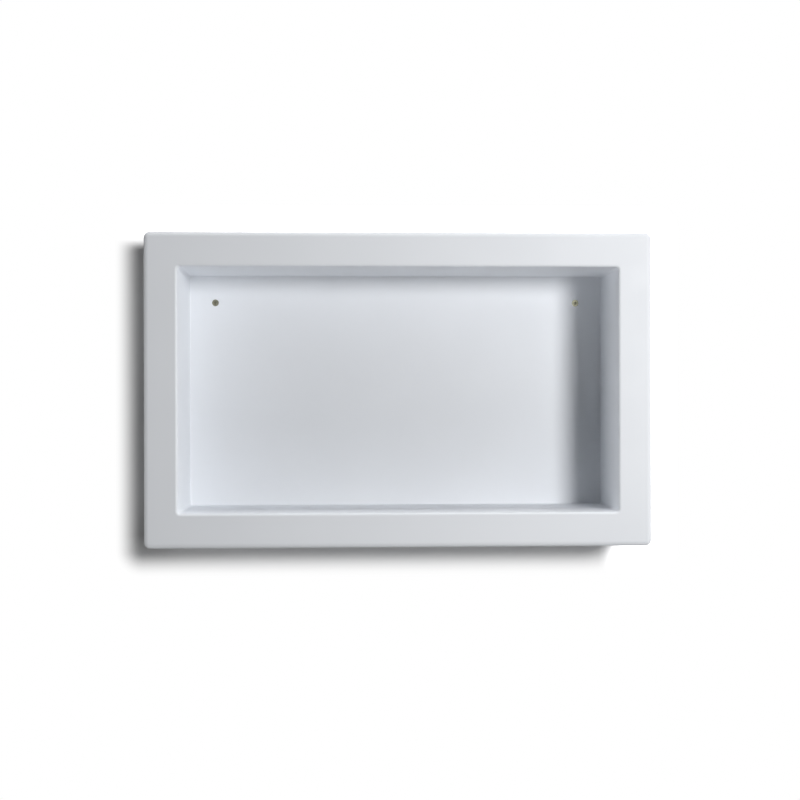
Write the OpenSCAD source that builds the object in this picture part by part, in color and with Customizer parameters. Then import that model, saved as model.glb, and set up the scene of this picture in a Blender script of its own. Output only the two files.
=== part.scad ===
// Shower niche: one cast body with an open recess, fixed by two countersunk screws that pass
// through its back panel. The origin is the centre of the rear face. X runs along the width,
// +Y points into the wall behind the niche and +Z points up, so the recess opens towards -Y.

/* [Body] */
// Overall width
niche_w = 500; // [400:1:700]
// Overall height
niche_h = 310; // [250:1:450]
// Overall depth, from the rear face to the front of the rim
niche_d = 100; // [80:1:140]
// Radius of the four body corners, seen from the front
body_corner_r = 6; // [5.5:0.5:12]
// Radius of the rim's rounded outer edge
rim_edge_r = 5; // [2:0.5:5]

/* [Recess] */
// Width of the rim at each side of the recess
rim_side_w = 33; // [25:0.5:50]
// Width of the rim above and below the recess
rim_top_w = 34; // [25:0.5:50]
// Thickness of the back panel
back_t = 12; // [10:0.5:20]
// Radius of the rounded mouth edge, where the rim turns into the recess walls
mouth_edge_r = 2.5; // [1.5:0.5:6]
// Radius of the corners between two recess walls, at the mouth
wall_corner_r = 3; // [2.5:0.5:15]
// How far each recess wall leans in between its mouth edge and its foot, so that it leaves the mould
wall_taper = 0.75; // [0.25:0.05:0.95]
// Radius of the hollow fillet between the recess walls and the back panel
foot_fillet_r = 1.5; // [1:0.5:2]

/* [Screw holes] */
// Distance from each side wall of the recess to the screw beside it
screw_inset = 27.5; // [20:0.5:60]
// Distance from the top wall of the recess down to both screws
screw_drop = 29; // [20:0.5:60]
// Diameter of the clearance holes in the back panel
hole_d = 4.2; // [3.8:0.1:5]
// Gap between each screw head and its countersink
seat_gap = 0.1; // [0.05:0.05:0.2]

/* [Screws] */
// Diameter over the thread
thread_d = 3.5; // [3:0.1:3.6]
// Diameter of the plain shank between head and thread
shank_d = 2.6; // [2.2:0.1:3]
// Length over all
screw_l = 40; // [38:1:60]
// Length of the full thread, without the point
thread_l = 22; // [16:1:22]
// Length of the pointed tip
tip_l = 4.8; // [3:0.2:4.8]
// Diameter of the countersunk head
head_d = 7; // [6.4:0.1:7.8]
// Height of the upright edge round the head
head_edge_h = 0.4; // [0.2:0.1:0.6]
// Length of each slot of the cross recess
drive_l = 3.8; // [3:0.1:4.2]
// Width of each slot of the cross recess
drive_w = 0.9; // [0.6:0.1:1.2]
// Depth of the cross recess
drive_depth = 1.5; // [1:0.1:1.7]

/* [Hidden] */
$fn = 96;
// Length that a cut runs past the face it opens through
cut_over = 1;
recess_w = niche_w - 2 * rim_side_w;
recess_h = niche_h - 2 * rim_top_w;
screw_x = recess_w / 2 - screw_inset;
screw_y = recess_h / 2 - screw_drop;
head_cone_h = (head_d - shank_d) / 2;

// The shapes below lie on their rear face, with their depth along Z, and this stands them up
module stand_up() {
    rotate([90, 0, 0]) children();
}

// A rectangular block between two heights whose border follows the child outline all the way
// round: half_w and half_h reach to the corner centres, where the outline's own X is zero
module bordered_block(half_w, half_h, low, high) {
    translate([-half_w, -half_h, low]) cube([2 * half_w, 2 * half_h, high - low]);
    for (side = [0:3]) {
        out = side % 2 == 0 ? half_w : half_h;
        along = side % 2 == 0 ? half_h : half_w;
        rotate(90 * side) {
            translate([out, 0, 0]) rotate([90, 0, 0]) linear_extrude(2 * along, center = true) children();
            translate([out, along, 0]) rotate_extrude(angle = 90) children();
        }
    }
}

// Outer section of the rim, outwards from a corner centre, with its rounded front edge
module rim_section() {
    edge_x = body_corner_r - rim_edge_r;
    edge_z = niche_d - rim_edge_r;
    square([body_corner_r, edge_z]);
    square([edge_x, niche_d]);
    translate([edge_x, edge_z]) intersection() {
        circle(rim_edge_r);
        square(rim_edge_r);
    }
}

// Section of the recess, outwards from a corner centre: a foot fillet, a leaning wall and a mouth
// that flares round the rim's inner edge
module recess_section() {
    mouth = [wall_corner_r + mouth_edge_r, niche_d - mouth_edge_r];
    foot = [wall_corner_r - wall_taper - foot_fillet_r, back_t + foot_fillet_r];
    difference() {
        polygon([
            [0, back_t],
            [foot.x, back_t],
            foot,
            [foot.x + foot_fillet_r, foot.y],
            [wall_corner_r, mouth.y],
            mouth,
            [mouth.x, niche_d + cut_over],
            [0, niche_d + cut_over]
        ]);
        translate(mouth) circle(mouth_edge_r);
    }
    translate(foot) intersection() {
        circle(foot_fillet_r);
        translate([0, -foot_fillet_r]) square(foot_fillet_r);
    }
}

module block() {
    bordered_block(niche_w / 2 - body_corner_r, niche_h / 2 - body_corner_r, 0, niche_d) rim_section();
}

module recess() {
    half_w = recess_w / 2 - wall_corner_r;
    half_h = recess_h / 2 - wall_corner_r;
    bordered_block(half_w, half_h, back_t, niche_d + cut_over) recess_section();
}

// Puts its child at both screw places
module at_screws() {
    for (side = [-1, 1]) translate([side * screw_x, screw_y, 0]) children();
}

// Clearance hole with a 90 degree countersink that holds the head flush with the back panel
module screw_hole() {
    sink_r = head_d / 2 + seat_gap;
    sink_z = back_t - head_edge_h;
    translate([0, 0, -cut_over]) cylinder(d = hole_d, h = back_t + cut_over);
    translate([0, 0, sink_z - sink_r]) cylinder(r1 = 0, r2 = sink_r, h = sink_r);
    translate([0, 0, sink_z]) cylinder(r = sink_r, h = head_edge_h + cut_over);
}

// Two crossed slots inside a cone, so that their ends slope inwards to the recess's foot
module cross_recess() {
    cut_h = drive_depth + cut_over;
    end_slope = (drive_l - drive_w) / drive_depth;
    translate([0, 0, -drive_depth]) intersection() {
        cylinder(d1 = drive_w, d2 = drive_w + end_slope * cut_h, h = cut_h);
        for (turn = [0, 90]) rotate(turn) translate([-drive_l, -drive_w / 2, 0])
            cube([2 * drive_l, drive_w, cut_h]);
    }
}

// One screw, as the outline of half its length turned about its axis
module screw() {
    tip_z = -screw_l;
    thread_z = tip_z + tip_l;
    shank_z = thread_z + thread_l;
    difference() {
        rotate_extrude() polygon([
            [0, tip_z],
            [thread_d / 2, thread_z],
            [thread_d / 2, shank_z],
            [shank_d / 2, shank_z],
            [shank_d / 2, -head_edge_h - head_cone_h],
            [head_d / 2, -head_edge_h],
            [head_d / 2, 0],
            [0, 0]
        ]);
        cross_recess();
    }
}

module niche_body() {
    color("whitesmoke") stand_up() difference() {
        block();
        recess();
        at_screws() screw_hole();
    }
}

module fixing_screws() {
    color("goldenrod") stand_up() at_screws() translate([0, 0, back_t]) screw();
}

niche_body();
fixing_screws();
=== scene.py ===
"""A cast shower niche on a white wall, seen nearly straight on and lit from the upper right."""
import math

import bmesh
import bpy
from mathutils import Euler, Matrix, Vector


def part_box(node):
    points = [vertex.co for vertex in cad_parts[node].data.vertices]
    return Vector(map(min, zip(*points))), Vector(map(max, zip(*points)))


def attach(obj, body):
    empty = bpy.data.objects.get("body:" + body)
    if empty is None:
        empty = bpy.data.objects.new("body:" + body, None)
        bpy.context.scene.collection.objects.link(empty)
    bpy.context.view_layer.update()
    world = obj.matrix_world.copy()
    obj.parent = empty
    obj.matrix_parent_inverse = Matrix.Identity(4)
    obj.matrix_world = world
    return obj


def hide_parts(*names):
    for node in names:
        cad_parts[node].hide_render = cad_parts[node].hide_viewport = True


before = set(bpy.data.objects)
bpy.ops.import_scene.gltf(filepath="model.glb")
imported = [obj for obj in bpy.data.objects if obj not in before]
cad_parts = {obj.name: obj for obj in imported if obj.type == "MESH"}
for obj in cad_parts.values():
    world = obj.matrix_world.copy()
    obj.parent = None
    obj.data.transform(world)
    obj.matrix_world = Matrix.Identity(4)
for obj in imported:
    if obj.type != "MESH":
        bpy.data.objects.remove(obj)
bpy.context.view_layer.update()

# Sizes of the niche that its solids have too, in metres
BODY_LOW, BODY_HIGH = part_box("niche_body")
WIDTH = BODY_HIGH.x - BODY_LOW.x
HEIGHT = BODY_HIGH.z - BODY_LOW.z
DEPTH = BODY_HIGH.y - BODY_LOW.y
BODY_CORNER_R = 0.006
RIM_EDGE_R = 0.005
RIM_SIDE_W = 0.033
RIM_TOP_W = 0.034
BACK_T = 0.012
MOUTH_EDGE_R = 0.0025
WALL_CORNER_R = 0.003
WALL_TAPER = 0.00075
FOOT_FILLET_R = 0.0015
HOLE_R = 0.0021
SINK_R = 0.0036
HEAD_EDGE_H = 0.0004

# The two screws: their solids' sizes, and the thread that the solids leave out
SCREWS_LOW, SCREWS_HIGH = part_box("fixing_screws")
HEAD_R = (SCREWS_HIGH.z - SCREWS_LOW.z) / 2
SCREW_X = SCREWS_HIGH.x - HEAD_R
SCREW_Z = SCREWS_HIGH.z - HEAD_R
HEAD_Y = SCREWS_LOW.y
TIP_Y = SCREWS_HIGH.y
SHANK_R = 0.0013
THREAD_R = 0.00175
THREAD_CORE_R = 0.0011
THREAD_L = 0.022
TIP_L = 0.0048
THREAD_PITCH = 0.0018
THREAD_ROOT = 0.0005
THREAD_CREST = 0.00007
THREAD_SINK = 0.00005
TIP_R = 0.00015
DRIVE_L = 0.0038
DRIVE_W = 0.0009
DRIVE_DEPTH = 0.0015

# Linear colours and sheen of the two materials
RESIN_PALE = (0.862, 0.885, 0.92)
RESIN_DARK = (0.838, 0.861, 0.897)
RESIN_ROUGHNESS = (0.45, 0.55)
RESIN_SPECULAR = 0.3
ZINC_OLIVE = (0.15, 0.155, 0.12)
ZINC_STRAW = (0.27, 0.26, 0.19)
ZINC_ROUGHNESS = (0.3, 0.46)

# Lamps: name, place, diameter in metres, and power in watts
LAMPS = (
    ("key", (0.733, -1.3, 0.241), 0.4, 14.7),
    ("low_fill", (0, -1, -1.8), 1.2, 6.9),
    ("left_edge_fill", (-2.2, -0.3, 0), 0.35, 9.1),
    ("right_edge_fill", (2.2, -0.3, 0), 0.35, 5.8),
    ("top_edge_fill", (0, -0.3, 2.2), 0.35, 19.5),
    ("rear_fill", (0.6, 1.8, 0.7), 0.8, 20),
)
LAMP_TARGET = (0, -0.1, 0)

# The wall: its size and its grey level
WALL_SIZE = 4.0
WALL_WHITE = 0.85
# What the camera sees of the wall: painted brighter where light falls, and painted shade, darker than the
# real shadow alone, beside and below the niche
WALL_LIT = 2.5
WALL_LEFT_SHADE = 0.54
WALL_LOW_SHADE = 0.93
# Where those levels blend into each other, from the niche's lower, upper and right edges
LOW_BLEND = (-0.015, 0.005)
TOP_BLEND = (-0.007, 0.013)
RIGHT_BLEND = (-0.035, -0.005)
# The niche's outline as the camera sees it on the wall, beyond which the shadow is painted out to white
FADE_CENTRE = (0.003, 0, 0.0002)
FADE_HALF = (0.2695, 1, 0.1671)
FADE_FROM = 0.002
FADE_TO = 0.0306

# How finely the round stretches are divided, and the angle past which an edge stays sharp
CORNER_STEPS = 16
EDGE_STEPS = 12
HOLE_STEPS = 48
THREAD_STEPS = 32
SHARP_ANGLE = math.radians(30)

# The camera, found from the edges in the photograph
IMAGE_PX = 800
FOCAL_PX = 1232.5
SENSOR = 0.036
CAMERA_AT = Vector((-0.0441, -1.3092, -0.0089))
CAMERA_YAW = math.radians(2.111)
CAMERA_PITCH = math.radians(-0.054)
CAMERA_ROLL = math.radians(-0.111)


def rounded_ring(half_w, half_h, radius, y):
    """Points round a rectangle with rounded corners, in a plane across the depth."""
    points = []
    for corner in range(4):
        side_x = 1 if corner in (0, 3) else -1
        side_z = 1 if corner in (0, 1) else -1
        centre_x = side_x * (half_w - radius)
        centre_z = side_z * (half_h - radius)
        for step in range(CORNER_STEPS + 1):
            turn = math.radians(90 * (corner + step / CORNER_STEPS))
            points.append((centre_x + radius * math.cos(turn), y, centre_z + radius * math.sin(turn)))
    return points


def circle_ring(centre_x, centre_z, radius, y, steps):
    """Points round a circle, in a plane across the depth."""
    turns = [2 * math.pi * step / steps for step in range(steps)]
    return [(centre_x + radius * math.cos(t), y, centre_z + radius * math.sin(t)) for t in turns]


def add_rings(bm, rings):
    """Skins each ring of points to the next, and returns the first and the last ring's vertices."""
    loops = [[bm.verts.new(point) for point in ring] for ring in rings]
    for near, far in zip(loops, loops[1:]):
        for k in range(len(near)):
            after = (k + 1) % len(near)
            bm.faces.new((near[k], near[after], far[after], far[k]))
    return loops[0], loops[-1]


def fill_between(bm, outline, *holes):
    """Fills the flat face inside an outline and outside its holes."""
    edges = []
    for loop in (outline, *holes):
        for k, vert in enumerate(loop):
            edges.append(bm.edges.get((vert, loop[(k + 1) % len(loop)])))
    bmesh.ops.triangle_fill(bm, use_beauty=True, edges=edges)


def finish_mesh(bm, name):
    """Turns the mesh outwards, smooths all but its sharp edges, and makes an object of it."""
    bmesh.ops.recalc_face_normals(bm, faces=bm.faces)
    for face in bm.faces:
        face.smooth = True
    for edge in bm.edges:
        edge.smooth = edge.calc_face_angle(0) < SHARP_ANGLE
    mesh = bpy.data.meshes.new(name)
    bm.to_mesh(mesh)
    bm.free()
    piece = bpy.data.objects.new(name, mesh)
    bpy.context.scene.collection.objects.link(piece)
    return piece


def body_rings():
    """The rings from the rear face over the rim and down the recess to its back panel."""
    half_w, half_h = WIDTH / 2, HEIGHT / 2
    recess_w, recess_h = half_w - RIM_SIDE_W, half_h - RIM_TOP_W
    rings = [rounded_ring(half_w, half_h, BODY_CORNER_R, 0)]
    for step in range(EDGE_STEPS + 1):
        turn = math.radians(90 * step / EDGE_STEPS)
        inset = RIM_EDGE_R * (1 - math.cos(turn))
        y = -(DEPTH - RIM_EDGE_R * (1 - math.sin(turn)))
        rings.append(rounded_ring(half_w - inset, half_h - inset, BODY_CORNER_R - inset, y))
    for step in range(EDGE_STEPS + 1):
        turn = math.radians(90 * step / EDGE_STEPS)
        flare = MOUTH_EDGE_R * (1 - math.sin(turn))
        y = -(DEPTH - MOUTH_EDGE_R * (1 - math.cos(turn)))
        rings.append(rounded_ring(recess_w + flare, recess_h + flare, WALL_CORNER_R + flare, y))
    for step in range(EDGE_STEPS + 1):
        turn = math.radians(90 * step / EDGE_STEPS)
        inset = WALL_TAPER + FOOT_FILLET_R * (1 - math.cos(turn))
        y = -(BACK_T + FOOT_FILLET_R * (1 - math.sin(turn)))
        rings.append(rounded_ring(recess_w - inset, recess_h - inset, WALL_CORNER_R - inset, y))
    return rings


def make_body():
    """The casting: one skin from its rear face to its back panel, with two countersunk holes."""
    bm = bmesh.new()
    rear, panel = add_rings(bm, body_rings())
    sink_y = -(BACK_T - HEAD_EDGE_H)
    cone_y = sink_y + SINK_R - HOLE_R
    holes = []
    for side in (-1, 1):
        profile = [(HOLE_R, 0), (HOLE_R, cone_y), (SINK_R, sink_y), (SINK_R, -BACK_T)]
        rings = [circle_ring(side * SCREW_X, SCREW_Z, r, y, HOLE_STEPS) for r, y in profile]
        holes.append(add_rings(bm, rings))
    fill_between(bm, rear, *[hole[0] for hole in holes])
    fill_between(bm, panel, *[hole[1] for hole in holes])
    body = finish_mesh(bm, "niche")
    weigh = body.modifiers.new("weighted_normals", "WEIGHTED_NORMAL")
    weigh.keep_sharp = True
    body.data.materials.append(white_resin())
    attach(body, "root")
    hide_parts("niche_body")


def new_material(name):
    """A material with its own Principled shader, and its nodes and links."""
    material = bpy.data.materials.new(name)
    material.use_nodes = True
    return material, material.node_tree.nodes, material.node_tree.links


def noise(nodes, links, scale, detail):
    """Noise over the object's own coordinates, in features per metre."""
    place = nodes.new("ShaderNodeTexCoord")
    texture = nodes.new("ShaderNodeTexNoise")
    texture.inputs["Scale"].default_value = scale
    texture.inputs["Detail"].default_value = detail
    links.new(place.outputs["Object"], texture.inputs["Vector"])
    return texture.outputs["Fac"]


def link_ramp(nodes, links, value, target, stops):
    """Turns a value into colours between stops, and links them to a socket."""
    ramp = nodes.new("ShaderNodeValToRGB")
    for element, (place, colour) in zip(ramp.color_ramp.elements, stops):
        element.position = place
        element.color = (*colour, 1)
    links.new(value, ramp.inputs["Fac"])
    links.new(ramp.outputs["Color"], target)


def link_range(nodes, links, value, target, low, high):
    """Spreads a value over a range, and links it to a socket."""
    spread = nodes.new("ShaderNodeMapRange")
    spread.inputs["From Min"].default_value = 0.3
    spread.inputs["From Max"].default_value = 0.7
    spread.inputs["To Min"].default_value = low
    spread.inputs["To Max"].default_value = high
    links.new(value, spread.inputs["Value"])
    links.new(spread.outputs["Result"], target)


def link_bump(nodes, links, value, target, strength, distance):
    """Turns a height into a bumped normal, and links it to a socket."""
    bump = nodes.new("ShaderNodeBump")
    bump.inputs["Strength"].default_value = strength
    bump.inputs["Distance"].default_value = distance
    links.new(value, bump.inputs["Height"])
    links.new(bump.outputs["Normal"], target)


def white_resin():
    """White satin resin, cast and hand finished: faint clouding, an uneven sheen and a low ripple."""
    material, nodes, links = new_material("white_resin")
    shader = nodes["Principled BSDF"]
    shader.inputs["Specular IOR Level"].default_value = RESIN_SPECULAR
    clouding = noise(nodes, links, scale=9, detail=3)
    sheen = noise(nodes, links, scale=45, detail=4)
    ripple = noise(nodes, links, scale=900, detail=2)
    link_ramp(nodes, links, clouding, shader.inputs["Base Color"], ((0.3, RESIN_DARK), (0.7, RESIN_PALE)))
    link_range(nodes, links, sheen, shader.inputs["Roughness"], *RESIN_ROUGHNESS)
    link_bump(nodes, links, ripple, shader.inputs["Normal"], strength=0.25, distance=0.00003)
    return material


def add_drive(bm, place, depth_y):
    """Adds two crossed slots whose ends slope in to a square foot, and returns their outline."""
    half_l, half_w = DRIVE_L / 2, DRIVE_W / 2
    outline, foot = [], []
    for quarter in range(4):
        turn = math.radians(90 * quarter)
        across = Vector((math.cos(turn), 0, math.sin(turn)))
        along = Vector((-math.sin(turn), 0, math.cos(turn)))
        foot.append(bm.verts.new(place + (across - along) * half_w + Vector((0, depth_y, 0))))
        outline.append(bm.verts.new(place + (across - along) * half_w))
        outline.append(bm.verts.new(place + across * half_l - along * half_w))
        outline.append(bm.verts.new(place + across * half_l + along * half_w))
    for quarter in range(4):
        corner, near, far = outline[3 * quarter:3 * quarter + 3]
        after = outline[(3 * quarter + 3) % 12]
        low, high = foot[quarter], foot[(quarter + 1) % 4]
        bm.faces.new((corner, near, low))
        bm.faces.new((near, far, high, low))
        bm.faces.new((far, after, high))
    bm.faces.new(foot)
    return outline


def thread_radii(y):
    """Radius of the screw's core and of its thread's crest, at a depth."""
    into_tip = max(0, (y - (TIP_Y - TIP_L)) / TIP_L)
    run_in = min(1, (y - (TIP_Y - TIP_L - THREAD_L)) / (THREAD_PITCH / 2))
    core = THREAD_CORE_R + (TIP_R - THREAD_CORE_R) * into_tip
    crest = THREAD_R + (TIP_R - THREAD_R) * into_tip
    return core, core + (crest - core) * max(0, run_in)


def add_thread(bm, place):
    """A ridge that winds round the core from the plain shank to the point."""
    length = THREAD_L + TIP_L
    steps = int(length / THREAD_PITCH * THREAD_STEPS)
    rings = []
    for step in range(steps + 1):
        turn = 2 * math.pi * step / THREAD_STEPS
        y = TIP_Y - length + step * THREAD_PITCH / THREAD_STEPS
        core, crest = thread_radii(y)
        spread = THREAD_ROOT * crest / THREAD_R
        ring = []
        for radius, shift in ((core - THREAD_SINK, -spread), (crest, -THREAD_CREST), (crest, THREAD_CREST),
                              (core - THREAD_SINK, spread)):
            point_y = min(y + shift, TIP_Y)
            ring.append((place.x + radius * math.cos(turn), point_y, place.z - radius * math.sin(turn)))
        rings.append(ring)
    first, last = add_rings(bm, rings)
    bm.faces.new(first)
    bm.faces.new(last)


def make_screw(name, centre_x):
    """One countersunk screw with its thread, point and cross recess."""
    bm = bmesh.new()
    place = Vector((centre_x, HEAD_Y, SCREW_Z))
    thread_y = TIP_Y - TIP_L - THREAD_L
    cone_y = HEAD_Y + HEAD_EDGE_H
    profile = [(HEAD_R, HEAD_Y), (HEAD_R, cone_y), (SHANK_R, cone_y + HEAD_R - SHANK_R)]
    profile += [(SHANK_R, thread_y), (THREAD_CORE_R, thread_y + SHANK_R - THREAD_CORE_R)]
    profile += [(THREAD_CORE_R, TIP_Y - TIP_L), (TIP_R, TIP_Y)]
    rings = [circle_ring(centre_x, SCREW_Z, radius, y, HOLE_STEPS) for radius, y in profile]
    face, point = add_rings(bm, rings)
    bm.faces.new(point)
    fill_between(bm, face, add_drive(bm, place, DRIVE_DEPTH))
    add_thread(bm, place)
    screw = finish_mesh(bm, name)
    screw.data.materials.append(zinc_plating())
    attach(screw, "root")
    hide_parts("fixing_screws")


def zinc_plating():
    """Steel with yellow-passivated zinc: olive to straw patches and a fine uneven sheen."""
    material, nodes, links = new_material("yellow_zinc")
    shader = nodes["Principled BSDF"]
    shader.inputs["Metallic"].default_value = 1
    patches = noise(nodes, links, scale=700, detail=3)
    grain = noise(nodes, links, scale=6000, detail=2)
    link_ramp(nodes, links, patches, shader.inputs["Base Color"], ((0.35, ZINC_OLIVE), (0.65, ZINC_STRAW)))
    link_range(nodes, links, patches, shader.inputs["Roughness"], *ZINC_ROUGHNESS)
    link_bump(nodes, links, grain, shader.inputs["Normal"], strength=0.4, distance=0.00002)
    return material


def step_between(nodes, links, value, low, high):
    """A smooth step of a value from 0 to 1 between two limits."""
    step = nodes.new("ShaderNodeMapRange")
    step.interpolation_type = "SMOOTHSTEP"
    step.inputs["From Min"].default_value = low
    step.inputs["From Max"].default_value = high
    links.new(value, step.inputs["Value"])
    return step.outputs["Result"]


def vector_step(nodes, links, operation, value, constant=None):
    """One step of vector arithmetic, and what comes out of it."""
    step = nodes.new("ShaderNodeVectorMath")
    step.operation = operation
    links.new(value, step.inputs[0])
    if constant is not None:
        step.inputs[1].default_value = constant
    return step.outputs["Value" if operation == "LENGTH" else "Vector"]


def mix_shaders(nodes, links, factor, first, second):
    """Mixes two shaders by a factor."""
    mix = nodes.new("ShaderNodeMixShader")
    links.new(factor, mix.inputs["Fac"])
    links.new(first, mix.inputs[1])
    links.new(second, mix.inputs[2])
    return mix.outputs["Shader"]


def matt(nodes, level):
    """Plain matt paint of one grey level."""
    paint = nodes.new("ShaderNodeBsdfDiffuse")
    paint.inputs["Color"].default_value = (level, level, level, 1)
    return paint.outputs["BSDF"]


def wall_paint():
    """White wall: clear from behind; for the camera, painted shade beside and below the niche, painted
    brighter where light falls, and the shadow painted out to white further off.
    """
    material, nodes, links = new_material("wall_paint")
    nodes.clear()
    output = nodes.new("ShaderNodeOutputMaterial")
    path = nodes.new("ShaderNodeLightPath")
    geometry = nodes.new("ShaderNodeNewGeometry")
    clear = nodes.new("ShaderNodeBsdfTransparent")
    white = nodes.new("ShaderNodeEmission")
    place = nodes.new("ShaderNodeTexCoord").outputs["Object"]
    axes = nodes.new("ShaderNodeSeparateXYZ")
    links.new(place, axes.inputs[0])

    beyond = vector_step(nodes, links, "SUBTRACT", place, FADE_CENTRE)
    beyond = vector_step(nodes, links, "ABSOLUTE", beyond)
    beyond = vector_step(nodes, links, "SUBTRACT", beyond, FADE_HALF)
    beyond = vector_step(nodes, links, "MAXIMUM", beyond, (0, 0, 0))
    fade = step_between(nodes, links, vector_step(nodes, links, "LENGTH", beyond), FADE_FROM, FADE_TO)

    # Painted shade: darker paint left of and below the niche, where its shadow falls
    beside = step_between(nodes, links, axes.outputs["Z"], *[BODY_LOW.z + shift for shift in LOW_BLEND])
    shade = mix_shaders(nodes, links, beside, matt(nodes, WALL_LOW_SHADE), matt(nodes, WALL_LEFT_SHADE))
    # Painted light: brighter paint above and to the right of the niche, where light falls
    for axis, edge, blend in (("Z", BODY_HIGH.z, TOP_BLEND), ("X", BODY_HIGH.x, RIGHT_BLEND)):
        lit = step_between(nodes, links, axes.outputs[axis], *[edge + shift for shift in blend])
        shade = mix_shaders(nodes, links, lit, shade, matt(nodes, WALL_LIT))
    # Past the fade the shadow is painted out with plain white
    shade = mix_shaders(nodes, links, fade, shade, white.outputs["Emission"])
    front = mix_shaders(nodes, links, path.outputs["Is Camera Ray"], matt(nodes, WALL_WHITE), shade)
    surface = mix_shaders(nodes, links, geometry.outputs["Backfacing"], front, clear.outputs["BSDF"])
    links.new(surface, output.inputs["Surface"])
    return material


def make_wall():
    """The wall behind the niche, left open where the niche covers it."""
    half = WALL_SIZE / 2
    bm = bmesh.new()
    outer = rounded_ring(half, half, BODY_CORNER_R, 0)
    inner = rounded_ring(WIDTH / 2, HEIGHT / 2, BODY_CORNER_R, 0)
    add_rings(bm, [inner, outer])
    bmesh.ops.recalc_face_normals(bm, faces=bm.faces)
    for face in bm.faces:
        if face.normal.y > 0:
            face.normal_flip()
    mesh = bpy.data.meshes.new("wall")
    bm.to_mesh(mesh)
    bm.free()
    wall = bpy.data.objects.new("wall", mesh)
    bpy.context.scene.collection.objects.link(wall)
    wall.data.materials.append(wall_paint())


def link_largest(nodes, links, value, target):
    """Feeds a value to a socket, or the larger one where the socket is fed already."""
    if target.is_linked:
        larger = nodes.new("ShaderNodeMath")
        larger.operation = "MAXIMUM"
        links.new(target.links[0].from_socket, larger.inputs[0])
        links.new(value, larger.inputs[1])
        value = larger.outputs["Value"]
    links.new(value, target)


def make_world():
    """Plain white all round for the camera and for reflections, with no light of its own."""
    world = bpy.data.worlds.new("surround")
    bpy.context.scene.world = world
    world.use_nodes = True
    nodes, links = world.node_tree.nodes, world.node_tree.links
    nodes.clear()
    output = nodes.new("ShaderNodeOutputWorld")
    white = nodes.new("ShaderNodeBackground")
    path = nodes.new("ShaderNodeLightPath")
    white.inputs["Color"].default_value = (1, 1, 1, 1)
    for ray in ("Is Camera Ray", "Is Glossy Ray", "Is Transmission Ray"):
        link_largest(nodes, links, path.outputs[ray], white.inputs["Strength"])
    links.new(white.outputs["Background"], output.inputs["Surface"])


def area_light(name, place, size, watts):
    """A round area light that faces the niche."""
    data = bpy.data.lights.new(name, "AREA")
    data.shape = "DISK"
    data.size = size
    data.energy = watts
    light = bpy.data.objects.new(name, data)
    light.location = place
    light.rotation_euler = (Vector(LAMP_TARGET) - Vector(place)).to_track_quat("-Z", "Y").to_euler()
    bpy.context.scene.collection.objects.link(light)


def make_camera():
    """The camera as it stood for the photograph."""
    data = bpy.data.cameras.new("camera")
    data.sensor_width = SENSOR * 1000
    data.lens = SENSOR * 1000 * FOCAL_PX / IMAGE_PX
    camera = bpy.data.objects.new("camera", data)
    camera.location = CAMERA_AT
    camera.rotation_euler = Euler((math.pi / 2 + CAMERA_PITCH, -CAMERA_ROLL, -CAMERA_YAW), "XYZ")
    bpy.context.scene.collection.objects.link(camera)
    bpy.context.scene.camera = camera


make_body()
make_screw("screw_left", -SCREW_X)
make_screw("screw_right", SCREW_X)
make_wall()
make_world()
for lamp in LAMPS:
    area_light(*lamp)
make_camera()

bpy.context.scene.view_settings.view_transform = "Standard"
